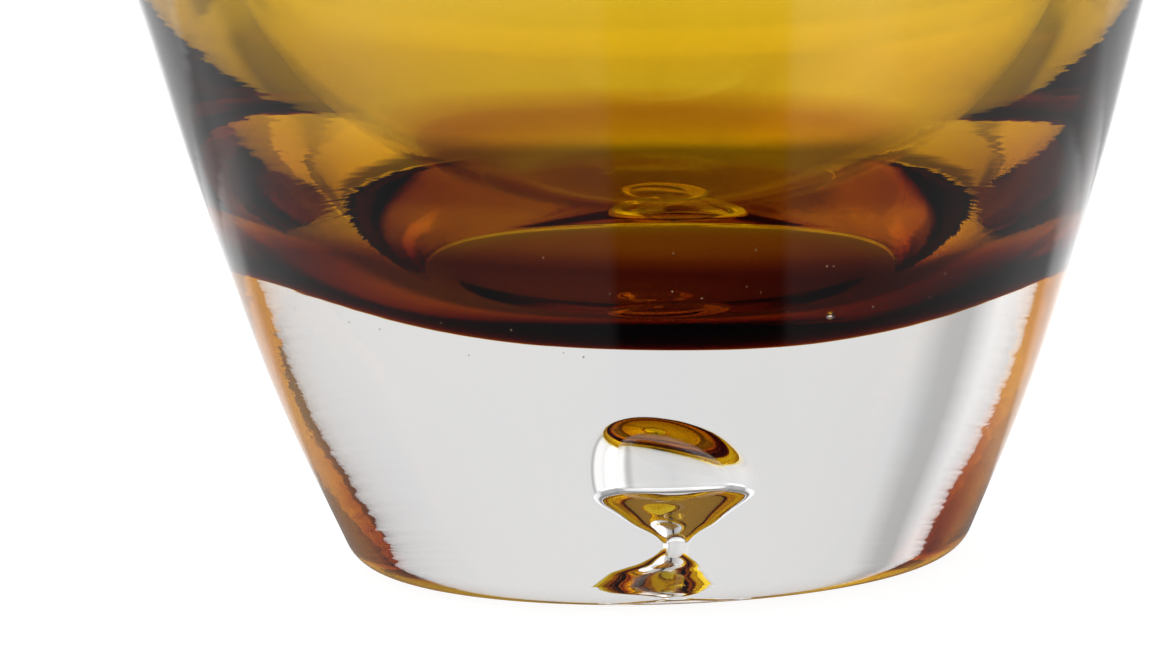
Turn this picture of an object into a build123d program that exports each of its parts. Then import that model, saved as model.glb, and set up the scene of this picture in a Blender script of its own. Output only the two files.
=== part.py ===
"""Hyacinth forcing vase in thick cased glass, in millimetres, +Z up, origin at the centre of the foot.

An amber vessel holds the water and the bulb. A heavy clear gather cases it, with a pocket of air
pricked in from below, and a last clear gather seals the pocket and makes the foot.
"""

import os
from math import radians, tan

from build123d import *

os.makedirs("parts", exist_ok=True)

# Foot
foot_radius = 23.1  # flat that stands on the table
foot_roll = 3.3  # radius of the rolled edge round the flat
foot_lean = 23.5  # degrees that the side leans out where it leaves the roll

# Levels above the table
knee_height = 14.0  # where the lean of the outside eases
amber_height = 22.8  # underside of the amber, on the axis
side_height = 52.0  # where the lean of the amber wall eases
belly_height = 70.0
neck_height = 103.0
total_height = 148.0

# Outside radius at each level, measured to the corners before they are rounded
belly_radius = 49.0
neck_radius = 29.5
rim_radius = 40.0
knee_round = 14.0
belly_round = 18.0

# Amber vessel: its outside below the belly
heel_radius = 27.0  # reach of its domed underside
heel_rise = 7.5  # rise of the dome from the axis to the heel
side_radius = 36.6

# Clear glass round the amber
belly_casing = 8.3
neck_casing = 4.6
rim_casing = 2.8

# Thin amber wall and its thicker floor
side_amber = 1.5
belly_amber = 1.5
neck_amber = 1.6
rim_amber = 1.4
floor_amber = 2.3

# Bowl-shaped floor of the hollow
bowl_inset = 0.6  # how far the bowl's edge lies inside the heel
bowl_rise = 9.3

# Pocket of air: a funnel where the spike went in, a throat and a barrel-shaped bulb
bulb_radius = 4.6
bulb_length = 6.6
bulb_cover = 5.8  # clear glass between the bulb and the amber
bulb_crown_round = 2.6
bulb_base_round = 1.2
throat_radius = 0.72
throat_height = 6.2
funnel_radius = 3.7


def top(belly_depth, neck_depth, rim_depth):
    """Shoulder, neck, cup and rim of a skin that lies the given depths of glass inside the vase."""
    return (
        (belly_radius - belly_depth, belly_height),
        (neck_radius - neck_depth, neck_height),
        (rim_radius - rim_depth, total_height),
        (0, total_height),
    )


# Outline of the whole vase: flat foot, rolled edge, side, shoulder and cup
with BuildSketch(Plane.XZ) as outside:
    with BuildLine():
        foot = Line((0, 0), (foot_radius, 0))
        roll = CenterArc((foot_radius, foot_roll), foot_roll, -90, 90 - foot_lean)
        foot_thickness = (roll @ 1).Y
        knee = ((roll @ 1).X + (knee_height - foot_thickness) * tan(radians(foot_lean)), knee_height)
        skin = Polyline(roll @ 1, knee, *top(0, 0, 0))
        Line(skin @ 1, foot @ 0)
    make_face()
    fillet(outside.vertices().sort_by_distance(knee)[0], knee_round)
    fillet(outside.vertices().sort_by_distance((belly_radius, belly_height))[0], belly_round)

# Outline of the amber gather: domed underside, heel and wall
with BuildSketch(Plane.XZ) as amber_outside:
    heel = (heel_radius, amber_height + heel_rise)
    with BuildLine():
        dome = TangentArc((0, amber_height), heel, tangent=(1, 0))
        skin = Polyline(heel, (side_radius, side_height), *top(belly_casing, neck_casing, rim_casing))
        Line(skin @ 1, dome @ 0)
    make_face()

# Outline of the hollow: bowl-shaped floor, body, neck and bulb cup
with BuildSketch(Plane.XZ) as hollow:
    floor_height = amber_height + floor_amber
    with BuildLine():
        bowl = TangentArc(
            (0, floor_height),
            (heel_radius - bowl_inset, floor_height + bowl_rise),
            tangent=(1, 0),
        )
        skin = Polyline(
            bowl @ 1,
            (side_radius - side_amber, side_height),
            *top(belly_casing + belly_amber, neck_casing + neck_amber, rim_casing + rim_amber),
        )
        Line(skin @ 1, bowl @ 0)
    make_face()

# Outline of the pocket of air
with BuildSketch(Plane.XZ) as pocket:
    bulb_top = amber_height - bulb_cover
    bulb_base = (bulb_radius, bulb_top - bulb_length)
    with BuildLine():
        Polyline(
            (0, foot_thickness),
            (funnel_radius, foot_thickness),
            (throat_radius, throat_height),
            bulb_base,
            (bulb_radius, bulb_top),
            (0, bulb_top),
            close=True,
        )
    make_face()
    fillet(pocket.vertices().sort_by_distance(bulb_base)[0], bulb_base_round)
    fillet(pocket.vertices().sort_by_distance((bulb_radius, bulb_top))[0], bulb_crown_round)

seam = Plane.XY.offset(foot_thickness)

# First gather
with BuildPart() as amber_vessel:
    revolve(amber_outside.sketch, Axis.Z)
    revolve(hollow.sketch, Axis.Z, mode=Mode.SUBTRACT)

# Second gather, cased round the first, with the pocket pricked in
with BuildPart() as clear_casing:
    revolve(outside.sketch, Axis.Z)
    revolve(amber_outside.sketch, Axis.Z, mode=Mode.SUBTRACT)
    revolve(pocket.sketch, Axis.Z, mode=Mode.SUBTRACT)
    split(bisect_by=seam, keep=Keep.TOP)

# Last gather, which seals the pocket
with BuildPart() as foot_gather:
    revolve(outside.sketch, Axis.Z)
    split(bisect_by=seam, keep=Keep.BOTTOM)

amber_vessel.part.label = "amber_vessel"
clear_casing.part.label = "clear_casing"
foot_gather.part.label = "foot_gather"
export_step(amber_vessel.part, "parts/amber_vessel.step")
export_step(clear_casing.part, "parts/clear_casing.step")
export_step(foot_gather.part, "parts/foot_gather.step")
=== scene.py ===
import math

import bpy
import numpy as np
from mathutils import Matrix, Vector


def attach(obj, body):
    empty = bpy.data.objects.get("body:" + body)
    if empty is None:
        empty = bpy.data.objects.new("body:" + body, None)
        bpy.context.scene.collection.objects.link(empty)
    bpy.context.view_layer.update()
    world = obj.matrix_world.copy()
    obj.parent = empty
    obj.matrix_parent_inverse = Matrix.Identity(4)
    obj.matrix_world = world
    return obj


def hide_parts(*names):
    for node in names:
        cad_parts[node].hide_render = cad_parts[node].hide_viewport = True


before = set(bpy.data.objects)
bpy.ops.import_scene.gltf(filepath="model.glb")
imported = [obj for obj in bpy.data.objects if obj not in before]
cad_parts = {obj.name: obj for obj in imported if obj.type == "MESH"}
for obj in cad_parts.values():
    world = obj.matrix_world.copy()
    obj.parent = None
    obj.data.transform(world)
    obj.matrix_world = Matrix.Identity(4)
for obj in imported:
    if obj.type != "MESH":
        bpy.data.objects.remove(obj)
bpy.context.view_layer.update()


# Amber vessel: the first gather, blown into the room for the roots, the pinched neck and the cup for the bulb.
# Its colour is a skin of strong amber, thick under the floor and thin up the wall, over a clear lining.
# It lies fused inside the clear casing, so only the lining's hollow and the rim bend light.
MM = 0.001
turns = 192  # steps round the axis
profile_samples = 2400  # points along a whole profile, before it is cut into steps
fine_step, coarse_step = 0.5, 1.5  # mm along a profile, below and above the fine level
fine_level = 56.0
fused_gap = 0.02  # mm between two fused skins, which keeps one from lying in the other

hollow_floor = 25.12
hollow_side = [(12.0, 25.33), (22.0, 30.36), (26.5, 34.58), (35.6, 52.0), (39.26, 76.0)]
hollow_top = [(23.4, 104.0), (29.0, 124.0), (35.2, 146.8)]
amber_underside = 22.82
amber_dome = [(8.0, 23.2), (14.0, 24.5), (19.0, 26.4)]
amber_edge = (27.0, 30.3)
amber_edge_rise = 0.6  # slope of the domed underside where it reaches the edge
amber_wall_lean = 0.45  # slope out from the axis where the wall starts
amber_edge_round = 4.0
amber_side = [(30.99, 38.0), (37.1, 52.0), (40.66, 76.0)]
amber_top = [(26.0, 104.0), (31.4, 124.0), (37.4, 148.0)]
amber_depth = [  # height on the outer skin, and the amber's thickness there
    (22.8, 2.2), (23.2, 1.8), (24.0, 1.2), (24.5, 1.4), (26.4, 1.95), (27.4, 2.0),
    (28.5, 1.45), (29.5, 1.1), (30.3, 1.0), (36.0, 1.1), (42.0, 0.85), (48.0, 0.75), (148.0, 0.65),
]
amber_absorption = (270.0, 560.0, 2900.0)  # red, green and blue light taken up per metre of glass
amber_tint = (0.86, 0.5, 0.06)
glass_ior = 1.5
sharp_corner = 40.0  # degrees between two faces past which they meet in an edge
calm_ripple = 2e-6  # metres, the height of ripples on a skin that no tool dragged
ripple_scale, ripple_detail = (90, 90, 800), 2.0  # long round the axis, short up it
ripple_front = (-0.026, -0.012)  # metres along Y, between which the ripples grow from the front's share
ripple_front_share = 0.12
ring_scale = 120.0  # rings 2.6 mm apart on the floor of the hollow
ring_height = 0.003
ring_wobble, ring_detail = 0.8, 1.0
ring_levels = (26.0, 28.0)  # heights between which the rings fade
hollow_lean = [(45.0, -0.032), (110.0, 0.0)]  # height, and how far the skin dips there from left to right
amber_lean = [(29.0, -0.0577), (37.0, -0.032), *hollow_lean]


def smooth_curve(points, start, end, count=900):
    """Curve of radius and height through the points: cubic pieces that join with no kink or jump in bend.

    The knots lie the chords' lengths apart. The rates of change at the knots solve the usual three-term
    system, with the directions at both ends given, and each piece blends its two ends by Hermite's cubics.
    """
    points = np.asarray(points, float)
    pull = 1 / np.hypot(*np.diff(points, axis=0).T)
    knots = np.r_[0, np.cumsum(1 / pull)]
    chords = np.diff(points, axis=0) * pull[:, None] ** 2
    system = (
        np.diag(np.r_[1, 2 * (pull[:-1] + pull[1:]), 1])
        + np.diag(np.r_[pull[:-1], 0], -1)
        + np.diag(np.r_[0, pull[1:]], 1)
    )
    ends = [np.asarray(end_way) / np.hypot(*end_way) for end_way in (start, end)]
    rates = np.linalg.solve(system, np.vstack([ends[0], 3 * (chords[:-1] + chords[1:]), ends[1]]))
    at = np.linspace(0, knots[-1], count)
    piece = np.clip(np.searchsorted(knots, at, side="right") - 1, 0, len(points) - 2)
    part = ((at - knots[piece]) * pull[piece])[:, None]
    span = (1 / pull)[piece][:, None]
    return (
        (2 * part**3 - 3 * part**2 + 1) * points[piece]
        + (part**3 - 2 * part**2 + part) * span * rates[piece]
        + (3 * part**2 - 2 * part**3) * points[piece + 1]
        + (part**3 - part**2) * span * rates[piece + 1]
    )


def rounded_join(before, after, radius, count=24):
    """Two curves that meet at a corner, joined by a round of about that radius.

    Each curve is cut back by radius / tan(half the corner's angle), and a Bezier arc leaves and arrives
    along the two curves, with handles of 4/3 tan(a quarter of the turn) times the radius.
    """
    ways = [before[-2] - before[-1], after[1] - after[0]]
    ways = [way / np.hypot(*way) for way in ways]
    angle = math.acos(ways[0] @ ways[1])
    reach = radius / math.tan(angle / 2)

    def cut_back(curve):
        along = np.r_[0, np.cumsum(np.hypot(*np.diff(curve, axis=0).T))]
        first = [np.interp(reach, along, curve[:, axis]) for axis in (0, 1)]
        return np.vstack([first, curve[along > reach]])

    leaving, arriving = cut_back(before[::-1]), cut_back(after)
    handle = 4 / 3 * math.tan((math.pi - angle) / 4) * radius
    out = leaving[0] - leaving[1]
    into = arriving[0] - arriving[1]
    one = leaving[0] + out / np.hypot(*out) * handle
    two = arriving[0] + into / np.hypot(*into) * handle
    part = np.linspace(0, 1, count)[1:-1, None]
    arc = (
        (1 - part) ** 3 * leaving[0]
        + 3 * (1 - part) ** 2 * part * one
        + 3 * (1 - part) * part**2 * two
        + part**3 * arriving[0]
    )
    return np.vstack([leaving[::-1], arc, arriving])


def in_steps(curve, finer=1.0):
    """The same curve in even steps: fine ones below the fine level and coarse ones above it."""
    length = np.hypot(*np.diff(curve, axis=0).T)
    step = np.where(curve[1:, 1] < fine_level, fine_step, coarse_step) / finer
    along = np.r_[0, np.cumsum(length / step)]
    at = np.linspace(0, along[-1], max(2, round(along[-1]) + 1))
    return np.column_stack([np.interp(at, along, curve[:, axis]) for axis in (0, 1)])


def inset(curve, depth):
    """The curve moved square to itself by the depth at each point, towards its left. Both ends keep to their lines."""
    way = np.gradient(curve, axis=0)
    way /= np.hypot(*way.T)[:, None]
    moved = curve + np.column_stack([-way[:, 1], way[:, 0]]) * np.broadcast_to(depth, len(curve))[:, None]
    moved[0, 0] = 0
    moved[-1, 1] = curve[-1, 1]
    return moved


def lip(low, crown, count=9):
    """Fire-polished edge: a quarter of an ellipse, upright at the low point and level at the crown."""
    turn = np.linspace(0, np.pi / 2, count)
    return np.column_stack([
        crown[0] + (low[0] - crown[0]) * np.cos(turn),
        low[1] + (crown[1] - low[1]) * np.sin(turn),
    ])


def uneven(curve, lean=0.0, shift=0.0):
    """Profile rows of radius, height, lean and shift, for a skin that the hand left a little askew."""
    size = len(curve)
    return np.column_stack([curve, np.broadcast_to(lean, size), np.broadcast_to(shift, size)])


def leaning(curve, levels):
    """Profile rows for a curve whose lean goes in straight lines from level to level."""
    return uneven(curve, lean=np.interp(curve[:, 1], *zip(*levels)))


def turned(*runs, around=turns):
    """Closed surface of a profile turned about the upright axis.

    Radius r, height h, lean k and shift s at the angle a give the point (r cos a + s, r sin a, h + k r cos a).
    The profile is the runs laid end to end, anticlockwise, with both its ends on the axis, as single points.
    Gives the points, the triangles and each triangle's run.
    """
    runs = [run if run.shape[1] == 4 else uneven(run) for run in runs]
    profile = np.vstack([runs[0][:1], *[run[1:] for run in runs]])
    owner = np.repeat(np.arange(len(runs)), [len(run) - 1 for run in runs])
    angle = np.arange(around) * 2 * np.pi / around
    radius, height, lean, shift = profile[1:-1].T[:, :, None]
    body = np.stack([
        radius * np.cos(angle) + shift,
        radius * np.sin(angle),
        height + lean * radius * np.cos(angle),
    ], axis=2)
    first_point, last_point = [(row[3], 0, row[1]) for row in profile[[0, -1]]]
    points = np.vstack([first_point, body.reshape(-1, 3), last_point])

    here = 1 + np.arange(len(profile) - 2)[:, None] * around + np.arange(around)
    beside = np.roll(here, -1, axis=1)
    lower = np.stack([here[:-1], beside[:-1], beside[1:]], axis=2)
    upper = np.stack([here[:-1], beside[1:], here[1:]], axis=2)
    first = np.stack([0 * here[0], beside[0], here[0]], axis=1)
    last = np.stack([here[-1], beside[-1], 0 * here[-1] + len(points) - 1], axis=1)
    between = np.stack([lower, upper], axis=2).reshape(-1, 3)
    triangles = np.vstack([first, between, last])
    run = np.r_[np.full(around, owner[0]), np.repeat(owner[1:-1], 2 * around), np.full(around, owner[-1])]
    return points, triangles, run


def glass_piece(name, surfaces, materials):
    """Piece of closed surfaces in millimetres, each of points, triangles and each triangle's material."""
    starts = np.cumsum([0] + [len(points) for points, _, _ in surfaces])
    points = np.vstack([points for points, _, _ in surfaces]) * MM
    triangles = np.vstack([triangles + start for (_, triangles, _), start in zip(surfaces, starts)])
    mesh = bpy.data.meshes.new(name)
    mesh.from_pydata(points.tolist(), [], triangles.tolist())
    mesh.polygons.foreach_set("material_index", np.concatenate([choice for _, _, choice in surfaces]))
    mesh.shade_smooth()
    mesh.set_sharp_from_angle(angle=math.radians(sharp_corner))
    for material in materials:
        mesh.materials.append(material)
    piece = bpy.data.objects.new(name, mesh)
    bpy.context.scene.collection.objects.link(piece)
    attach(piece, "root")
    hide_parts(name)
    return piece


def clear_material(name, alpha, ripple):
    """Colourless glass; where it is fused to more glass it is seen through as if nothing were there.

    Its skin is a little uneven: long flat ripples lie round the axis, where the tools dragged the turning glass.
    The ripple is their height in metres. They fade to an eighth on the front, which the photo shows smooth.
    """
    material = bpy.data.materials.new(name)
    material.use_nodes = True
    nodes, links = material.node_tree.nodes, material.node_tree.links
    shader = nodes["Principled BSDF"]
    shader.inputs["Base Color"].default_value = (1, 1, 1, 1)
    shader.inputs["Roughness"].default_value = 0.0
    shader.inputs["IOR"].default_value = glass_ior
    shader.inputs["Transmission Weight"].default_value = 1.0
    shader.inputs["Alpha"].default_value = alpha
    place = nodes.new("ShaderNodeTexCoord")
    scale = nodes.new("ShaderNodeMapping")
    scale.inputs["Scale"].default_value = ripple_scale
    ripples = nodes.new("ShaderNodeTexNoise")
    ripples.inputs["Scale"].default_value = 1.0
    ripples.inputs["Detail"].default_value = ripple_detail
    bump = nodes.new("ShaderNodeBump")
    bump.inputs["Strength"].default_value = 1.0
    bump.inputs["Distance"].default_value = ripple
    links.new(place.outputs["Object"], scale.inputs["Vector"])
    links.new(scale.outputs["Vector"], ripples.inputs["Vector"])
    sides = nodes.new("ShaderNodeSeparateXYZ")
    fade = nodes.new("ShaderNodeMapRange")
    fade.inputs["From Min"].default_value = ripple_front[0]
    fade.inputs["From Max"].default_value = ripple_front[1]
    fade.inputs["To Min"].default_value = ripple_front_share
    height = nodes.new("ShaderNodeMath")
    height.operation = "MULTIPLY"
    links.new(place.outputs["Object"], sides.inputs["Vector"])
    links.new(sides.outputs["Y"], fade.inputs["Value"])
    links.new(ripples.outputs["Fac"], height.inputs[0])
    links.new(fade.outputs["Result"], height.inputs[1])
    links.new(height.outputs["Value"], bump.inputs["Height"])
    links.new(bump.outputs["Normal"], shader.inputs["Normal"])
    return material


dome = smooth_curve([(0, amber_underside), *amber_dome, amber_edge], (1, 0), (1, amber_edge_rise))
amber_wall = smooth_curve([amber_edge, *amber_side, *amber_top], (amber_wall_lean, 1), (0, 1), profile_samples)
amber_skin = in_steps(rounded_join(dome, amber_wall, amber_edge_round), finer=0.5)
amber_inner = inset(amber_skin, np.interp(amber_skin[:, 1], *zip(*amber_depth)))
lining_skin = inset(amber_inner, fused_gap)
hollow = in_steps(smooth_curve([(0, hollow_floor), *hollow_side, *hollow_top], (1, 0), (0, 1), profile_samples))

amber_points, amber_triangles, amber_run = turned(
    leaning(amber_skin, amber_lean),
    np.array([amber_skin[-1], amber_inner[-1]]),
    leaning(amber_inner[::-1], amber_lean),
)
lining_points, lining_triangles, lining_run = turned(
    leaning(lining_skin, amber_lean),
    lip(hollow[-1], lining_skin[-1])[::-1],
    leaning(hollow[::-1], hollow_lean),
)

amber_glass = bpy.data.materials.new("amber_glass")
amber_glass.use_nodes = True
nodes, links = amber_glass.node_tree.nodes, amber_glass.node_tree.links
shader = nodes["Principled BSDF"]
shader.inputs["Base Color"].default_value = (*amber_tint, 1)
shader.inputs["Roughness"].default_value = 0.0
shader.inputs["IOR"].default_value = glass_ior
shader.inputs["Transmission Weight"].default_value = 1.0
bare_face = nodes.new("ShaderNodeAttribute")
bare_face.attribute_name = "bare"
links.new(bare_face.outputs["Fac"], shader.inputs["Alpha"])
stain = nodes.new("ShaderNodeVolumeAbsorption")
strongest = max(amber_absorption)
stain.inputs["Color"].default_value = (*[1 - take / strongest for take in amber_absorption], 1)
stain.inputs["Density"].default_value = strongest
links.new(stain.outputs["Volume"], nodes["Material Output"].inputs["Volume"])
smooth_glass = clear_material("smooth_glass", 1.0, calm_ripple)
hollow_glass = clear_material("hollow_glass", 1.0, calm_ripple)
nodes, links = hollow_glass.node_tree.nodes, hollow_glass.node_tree.links
place = nodes.new("ShaderNodeTexCoord")
rings = nodes.new("ShaderNodeTexWave")  # low rings on the floor, from the turning of the pipe
rings.wave_type = "RINGS"
rings.rings_direction = "Z"
rings.inputs["Scale"].default_value = ring_scale
rings.inputs["Distortion"].default_value = ring_wobble
rings.inputs["Detail"].default_value = ring_detail
level = nodes.new("ShaderNodeSeparateXYZ")
fade = nodes.new("ShaderNodeMapRange")
fade.inputs["From Min"].default_value = ring_levels[0] * MM
fade.inputs["From Max"].default_value = ring_levels[1] * MM
fade.inputs["To Min"].default_value = 1.0
fade.inputs["To Max"].default_value = 0.0
height = nodes.new("ShaderNodeMath")
height.operation = "MULTIPLY"
ring_bump = nodes.new("ShaderNodeBump")
ring_bump.inputs["Distance"].default_value = ring_height * MM
links.new(place.outputs["Object"], rings.inputs["Vector"])
links.new(place.outputs["Object"], level.inputs["Vector"])
links.new(level.outputs["Z"], fade.inputs["Value"])
links.new(rings.outputs["Fac"], height.inputs[0])
links.new(fade.outputs["Result"], height.inputs[1])
links.new(height.outputs["Value"], ring_bump.inputs["Height"])
links.new(nodes["Bump"].outputs["Normal"], ring_bump.inputs["Normal"])
links.new(ring_bump.outputs["Normal"], nodes["Principled BSDF"].inputs["Normal"])
fused_glass = clear_material("fused_glass", 0.0, calm_ripple)

amber_vessel = glass_piece(
    "amber_vessel",
    [
        (amber_points, amber_triangles, np.zeros(len(amber_triangles), np.int32)),
        (lining_points, lining_triangles, np.where(lining_run == 0, 2, 1).astype(np.int32)),
    ],
    [amber_glass, hollow_glass, fused_glass],
)
bare = np.r_[amber_run == 1, lining_run > 0].astype(np.float32)  # 1 at the rim and in the hollow
amber_vessel.data.attributes.new("bare", "FLOAT", "FACE").data.foreach_set("value", bare)


# Clear casing: the second and heaviest gather, colourless, laid over the amber and blown with it. A spike
# pricked a pocket of air into its base. The pocket closed to a barrel-shaped bulb, a throat and a funnel.
# A few seeds, tiny bubbles of trapped air, hang in it.
foot_flat = 23.1
foot_roll = 3.3
foot_roll_end = 23.5  # degrees of lean where the roll runs into the side
foot_roll_steps = 24
outside_side = [(28.8, 8.0), (32.05, 16.0), (35.1, 25.0), (38.56, 36.0), (41.65, 47.0), (46.5, 76.0)]
outside_top = [(30.0, 104.0), (34.6, 124.0), (40.0, 146.4)]
pocket_outline = [
    (0, 17.2), (2.4, 16.7), (4.0, 15.3), (4.7, 13.4), (4.7, 11.6), (4.5, 10.8), (4.05, 10.2), (3.3, 9.5), (2.2, 8.35),
    (1.1, 7.4), (0.78, 6.6), (1.0, 5.65), (1.65, 4.95), (2.6, 4.15), (3.2, 3.2),
]
pocket_mouth, pocket_mouth_way = 3.9, (0.4, -1)  # radius and direction where the funnel meets the foot
pocket_samples = 600
pocket_bend = [  # height, and shift to the right
    (2.0, -0.53), (4.1, -0.2), (4.9, 0.41), (6.4, 0.92), (9.0, 0.85), (18.0, 0.85),
]
pocket_dip = 0.28  # dip of the bulb's crown from left to right
pocket_dip_levels = (10.0, 16.0)
seam_reach = 12.0  # radius where the glass no longer follows the pocket's bend
dragged_ripple = 1.8e-5  # metres, the height of the tools' ripples on the outside
seed_count, seed_size = 34, (0.04, 0.085)
seed_levels, seed_depths = (22, 33), (1, 3)  # heights, and depths under the outside
seed_turns = (-2.6, -0.5)  # radians round the axis, which is the front
seed_draw = 7
great_seed = ((13.6, -30.4, 24.7), 0.33)
ball_rows, ball_turns = 9, 14

roll_turn = np.radians(np.linspace(-90, -foot_roll_end, foot_roll_steps))
roll = np.column_stack([foot_flat + foot_roll * np.cos(roll_turn), foot_roll * (1 + np.sin(roll_turn))])
seam_height = roll[-1, 1]
lean_way = (math.sin(math.radians(foot_roll_end)), math.cos(math.radians(foot_roll_end)))
outside = in_steps(smooth_curve([roll[-1], *outside_side, *outside_top], lean_way, (0, 1), profile_samples))
pocket_outline.append((pocket_mouth, seam_height))
pocket = in_steps(smooth_curve(pocket_outline, (1, 0), pocket_mouth_way, pocket_samples), finer=2.0)
dipped = np.clip((pocket[:, 1] - pocket_dip_levels[0]) / (pocket_dip_levels[1] - pocket_dip_levels[0]), 0, 1)
pocket_lean = -pocket_dip * dipped**2 * (3 - 2 * dipped)
pocket_run = uneven(pocket, lean=pocket_lean, shift=np.interp(pocket[:, 1], *zip(*pocket_bend)))
seam = in_steps(np.array([pocket[-1], outside[0]]))
mouth_shift = pocket_run[-1, 3]
seam_run = uneven(seam, shift=np.interp(seam[:, 0], [pocket[-1, 0], seam_reach], [mouth_shift, 0]))
casing_inner = amber_skin + [fused_gap, 0]
casing_inner[:, 1] -= np.where(casing_inner[:, 1] < amber_edge[1], fused_gap, 0)
casing_inner[0, 0] = 0

casing_points, casing_triangles, casing_run = turned(
    pocket_run,
    seam_run,
    outside,
    lip(outside[-1], casing_inner[-1]),
    leaning(casing_inner[::-1], amber_lean),
)
half_circle = np.radians(np.linspace(-90, 90, ball_rows))
ball = turned(np.column_stack([np.cos(half_circle), np.sin(half_circle)]), around=ball_turns)
chance = np.random.default_rng(seed_draw)
seed_height = chance.uniform(*seed_levels, seed_count)
seed_turn = chance.uniform(*seed_turns, seed_count)
seed_radius = np.interp(seed_height, outside[:, 1], outside[:, 0]) - chance.uniform(*seed_depths, seed_count)
seed_places = np.column_stack([seed_radius * np.cos(seed_turn), seed_radius * np.sin(seed_turn), seed_height])
seed_radii = chance.uniform(*seed_size, seed_count)
seed_places = np.vstack([great_seed[0], seed_places])
seed_radii = np.r_[great_seed[1], seed_radii]
seeds = [
    (ball[0] * radius + place, ball[1][:, ::-1], np.zeros(len(ball[1]), np.int32))
    for place, radius in zip(seed_places, seed_radii)
]
rippled_glass = clear_material("rippled_glass", 1.0, dragged_ripple)
casing_materials = [smooth_glass, fused_glass, rippled_glass]
casing_choice = np.array([0, 1, 2, 2, 1], np.int32)[casing_run]  # for pocket, seam, outside, lip and inner skin
glass_piece(
    "clear_casing",
    [(casing_points, casing_triangles, casing_choice), *seeds],
    casing_materials,
)


# Foot gather: a last dab of clear glass pressed flat on the base. It seals the pocket, and its rolled edge
# runs on into the side of the casing. The vase stands on its flat underside.
foot_under = in_steps(np.array([(0, 0), (foot_flat, 0)]))
foot_top = in_steps(np.array([roll[-1], pocket[-1]]))
foot_window = in_steps(np.array([pocket[-1], (0, seam_height)]))
foot_points, foot_triangles, foot_run = turned(
    foot_under,
    in_steps(roll, finer=2.0),
    uneven(foot_top, shift=np.interp(foot_top[:, 0], [pocket[-1, 0], seam_reach], [mouth_shift, 0])),
    uneven(foot_window, shift=mouth_shift),
)
foot_choice = (foot_run == 2).astype(np.int32)  # only the top is fused, round the window under the pocket
glass_piece(
    "foot_gather", [(foot_points, foot_triangles, foot_choice)], [smooth_glass, fused_glass]
)


# Table: a plain white sheet under the vase. The camera sees it white with the vase's soft shadow. The
# glass sees it as a glowing sheet with painted light and shade: bright behind and far out at the sides, painted
# shade close beside the vase and in front of it, and a painted amber caustic under the foot.
table_half = 3.0
table_drop = 0.0002
# painted shade: the table as the glass sees it is dimmer close to the vase and brighter far out
table_near, table_far = 0.95, 1.2
table_near_radius, table_far_radius = 0.03, 0.17
# painted shade under and just round the foot, as the glass sees the table
painted_shade_under_vase = 0.26
painted_amber_caustic = (1.0, 0.52, 0.08)  # painted caustic: amber light painted on the table under the foot, where light through the amber would fall
painted_amber_caustic_radii = (0.022, 0.027)
painted_light_zones = [  # painted light and shade on the table as the glass sees it: radii where each ring begins, and its level by the angle from straight behind
    ((0.032, 0.045), [
        (-180, 0.03), (-172.6, 0.03), (-170.6, 0.2), (-135, 0.2), (-80, 0.45), (-57, 0.4), (-48, 0.9),
        (-30, 1), (10, 1), (18, 1.3), (32, 1.3), (55, 0.9), (61, 0.42), (80, 0.5),
        (135, 0.2), (151, 0.2), (153.5, 0.03), (180, 0.03),
    ]),
    ((0.09, 0.108), [
        (-180, 0.5), (-172.6, 0.5), (-170.6, 0.9), (-120, 0.9), (-100, 0.5), (-77, 0.5), (-68, 0.65), (-58, 0.65),
        (-52, 0.85), (-49, 0.85), (-30, 1), (10, 1), (18, 1.3), (35, 1.25), (53, 0.95), (70, 0.5),
        (100, 0.5), (125, 0.8), (135, 1.5), (151, 1.5), (153.5, 0.5), (180, 0.5),
    ]),
    ((0.118, 0.126), [
        (-180, 0.6), (-150, 0.6), (-125, 1.3), (-105, 1.1), (-85, 0.4), (-74, 0.55), (-63, 0.55), (-56, 0.4),
        (-45, 0.5), (-38, 0.85), (-30, 1.05), (30, 1.15), (38, 1.05), (51, 0.7), (60, 0.45),
        (85, 0.4), (105, 1.1), (125, 1.3), (150, 0.6), (180, 0.6),
    ]),
    ((0.152, 0.168), [
        (-180, 0.6), (-150, 0.6), (-125, 1.5), (-112, 1.6), (-85, 1.5), (-76, 1.15), (-57, 1.1), (-50, 0.65),
        (-30, 0.65), (-20, 1), (20, 1), (30, 0.65), (52, 0.65), (60, 1), (70, 1.15), (80, 1.3),
        (105, 1.3), (125, 1.3), (150, 0.6), (180, 0.6),
    ]),
]
shadow_share, table_glow = 0.2, 0.93  # what the camera sees: paper that takes the shadow, and its own white


def stepped_curve(nodes, links, value, points):
    """Float Curve of straight lines through the points, read at the value."""
    node = nodes.new("ShaderNodeFloatCurve")
    curve = node.mapping.curves[0]
    for _ in points[2:]:
        curve.points.new(0.5, 0.5)
    for knot, place in zip(curve.points, points):
        knot.location = place
        knot.handle_type = "VECTOR"
    node.mapping.use_clip = False
    node.mapping.update()
    links.new(value, node.inputs["Value"])
    return node.outputs["Value"]


def share_of_turn(nodes, links, vector):
    """Angle round the upright axis, as a share of a turn: 0 and 1 in front, a half behind. Also the height."""
    parts = nodes.new("ShaderNodeSeparateXYZ")
    angle = nodes.new("ShaderNodeMath")
    angle.operation = "ARCTAN2"
    share = nodes.new("ShaderNodeMath")
    share.operation = "MULTIPLY_ADD"
    share.inputs[1].default_value = 0.5 / math.pi
    share.inputs[2].default_value = 0.5
    links.new(vector, parts.inputs["Vector"])
    links.new(parts.outputs["X"], angle.inputs[0])
    links.new(parts.outputs["Y"], angle.inputs[1])
    links.new(angle.outputs["Value"], share.inputs[0])
    return share.outputs["Value"], parts.outputs["Z"]


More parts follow.
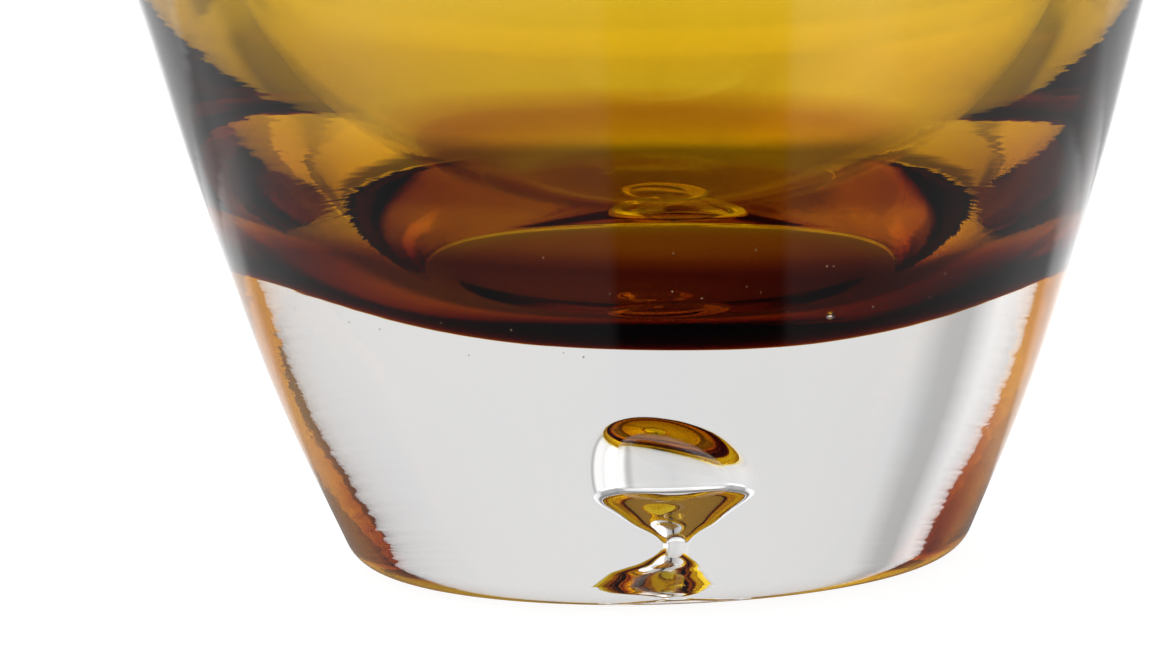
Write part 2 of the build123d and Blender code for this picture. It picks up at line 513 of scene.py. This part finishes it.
def ramp(nodes, links, value, first, last, low=0.0, high=1.0):
    """Level that eases from low to high while the value goes from first to last."""
    node = nodes.new("ShaderNodeMapRange")
    node.interpolation_type = "SMOOTHSTEP"
    node.inputs["From Min"].default_value = first
    node.inputs["From Max"].default_value = last
    node.inputs["To Min"].default_value = low
    node.inputs["To Max"].default_value = high
    links.new(value, node.inputs["Value"])
    return node.outputs["Result"]


def product(nodes, links, one, two):
    """The two levels multiplied."""
    node = nodes.new("ShaderNodeMath")
    node.operation = "MULTIPLY"
    links.new(one, node.inputs[0])
    links.new(two, node.inputs[1])
    return node.outputs["Value"]


corners = np.array([(-1, -1, 0), (1, -1, 0), (1, 1, 0), (-1, 1, 0)]) * table_half - [0, 0, table_drop]
table_mesh = bpy.data.meshes.new("table")
table_mesh.from_pydata(corners.tolist(), [], [(0, 1, 2, 3)])
table = bpy.data.objects.new("table", table_mesh)
bpy.context.scene.collection.objects.link(table)

white_sheet = bpy.data.materials.new("white_sheet")
white_sheet.use_nodes = True
nodes, links = white_sheet.node_tree.nodes, white_sheet.node_tree.links
nodes.clear()
place = nodes.new("ShaderNodeTexCoord")
reach = nodes.new("ShaderNodeVectorMath")
reach.operation = "LENGTH"
links.new(place.outputs["Object"], reach.inputs[0])
radius = reach.outputs["Value"]
share, _ = share_of_turn(nodes, links, place.outputs["Object"])
# painted light and shade, built ring after ring out from the vase
level = None
for radii, levels in painted_light_zones:
    knots = [((degrees + 180) / 360, height) for degrees, height in levels]
    zone = nodes.new("ShaderNodeMix")
    zone.inputs["A"].default_value = painted_shade_under_vase
    links.new(ramp(nodes, links, radius, *radii), zone.inputs["Factor"])
    if level:
        links.new(level, zone.inputs["A"])
    links.new(stepped_curve(nodes, links, share, knots), zone.inputs["B"])
    level = zone.outputs["Result"]
# painted amber caustic: the table's emission turns amber under the foot
tint = nodes.new("ShaderNodeMix")
tint.data_type = "RGBA"
tint.inputs["A"].default_value = (*painted_amber_caustic, 1)
tint.inputs["B"].default_value = (1, 1, 1, 1)
links.new(ramp(nodes, links, radius, *painted_amber_caustic_radii), tint.inputs["Factor"])
# painted shade: the table's emission darkens towards the vase
painted_near_shade = ramp(nodes, links, radius, table_near_radius, table_far_radius, table_near, table_far)
# painted light and shade: the glass sees the table as this emission, ring by ring, darker near the vase and amber
# under the foot
painted_light_in_glass = nodes.new("ShaderNodeEmission")
links.new(product(nodes, links, painted_near_shade, level), painted_light_in_glass.inputs["Strength"])
links.new(tint.outputs["Result"], painted_light_in_glass.inputs["Color"])
glow = nodes.new("ShaderNodeEmission")
glow.inputs["Strength"].default_value = table_glow
paper = nodes.new("ShaderNodeBsdfDiffuse")
paper.inputs["Color"].default_value = (shadow_share, shadow_share, shadow_share, 1)
seen_white = nodes.new("ShaderNodeAddShader")
links.new(glow.outputs["Emission"], seen_white.inputs[0])
links.new(paper.outputs["BSDF"], seen_white.inputs[1])
path = nodes.new("ShaderNodeLightPath")
choice = nodes.new("ShaderNodeMixShader")
links.new(path.outputs["Is Camera Ray"], choice.inputs["Fac"])
links.new(painted_light_in_glass.outputs["Emission"], choice.inputs[1])
links.new(seen_white.outputs["Shader"], choice.inputs[2])
links.new(choice.outputs["Shader"], nodes.new("ShaderNodeOutputMaterial").inputs["Surface"])
table_mesh.materials.append(white_sheet)


# Studio light: white sheets all round and above, brightest to the left and darker towards the camera, with a
# dark slit where the camera stands. The backdrop itself is white to the camera.
light_round = [  # angle from straight behind, and the level there
    (-180, 0.05), (-172, 0.05), (-168, 0.4), (-120, 0.7), (-108, 1.4), (-76, 1.4), (-68, 0.95), (-60, 1.05),
    (-46, 1.05), (-42, 0.8), (-38, 0.52), (-34, 0.52), (-28, 0.76), (38, 0.79), (60, 0.85), (90, 0.8),
    (120, 0.6), (168, 0.4), (172, 0.05), (180, 0.05),
]
light_height = [(-90, 0.7), (0, 1.0), (90, 1.0)]  # angle above the table, and the share of the level there

studio = bpy.data.worlds.new("studio")
bpy.context.scene.world = studio
studio.use_nodes = True
nodes, links = studio.node_tree.nodes, studio.node_tree.links
background = nodes["Background"]
way = nodes.new("ShaderNodeTexCoord")
share, rise = share_of_turn(nodes, links, way.outputs["Generated"])
climb = nodes.new("ShaderNodeMath")
climb.operation = "ARCSINE"
links.new(rise, climb.inputs[0])
share_up = nodes.new("ShaderNodeMath")
share_up.operation = "MULTIPLY_ADD"
share_up.inputs[1].default_value = 1 / math.pi
share_up.inputs[2].default_value = 0.5
links.new(climb.outputs["Value"], share_up.inputs[0])
sheets = stepped_curve(nodes, links, share, [((degrees + 180) / 360, level) for degrees, level in light_round])
heights = stepped_curve(
    nodes, links, share_up.outputs["Value"], [((degrees + 90) / 180, level) for degrees, level in light_height]
)
path = nodes.new("ShaderNodeLightPath")
seen = nodes.new("ShaderNodeMix")
links.new(path.outputs["Is Camera Ray"], seen.inputs["Factor"])
links.new(product(nodes, links, sheets, heights), seen.inputs["A"])
seen.inputs["B"].default_value = 1.0
links.new(seen.outputs["Result"], background.inputs["Strength"])
background.inputs["Color"].default_value = (1, 1, 1, 1)

cycles = bpy.context.scene.cycles
cycles.max_bounces = 32
cycles.transmission_bounces = 32
cycles.glossy_bounces = 16
cycles.transparent_max_bounces = 64


# Camera: low over the table, looking down a little on the base of the vase, which fills the picture.
# It stands straight in front, and is rolled as slightly as the photo is.
picture_width, pixels_per_mm = 1170, 12.0
sensor_width = 36.0
camera_rise, camera_roll = math.radians(9.0), math.radians(-1.6)
camera_distance = 0.7
camera_target = Vector((-0.00571, 0, 0.019))

camera_data = bpy.data.cameras.new("camera")
camera_data.sensor_width = sensor_width
camera_data.lens = sensor_width * camera_distance / (picture_width / pixels_per_mm * MM)
camera = bpy.data.objects.new("camera", camera_data)
bpy.context.scene.collection.objects.link(camera)
back = Vector((0, -math.cos(camera_rise), math.sin(camera_rise)))
aim = (-back).to_track_quat("-Z", "Y").to_matrix().to_4x4() @ Matrix.Rotation(camera_roll, 4, "Z")
camera.matrix_world = Matrix.Translation(camera_target + back * camera_distance) @ aim
bpy.context.scene.camera = camera
bpy.context.scene.view_settings.view_transform = "Standard"
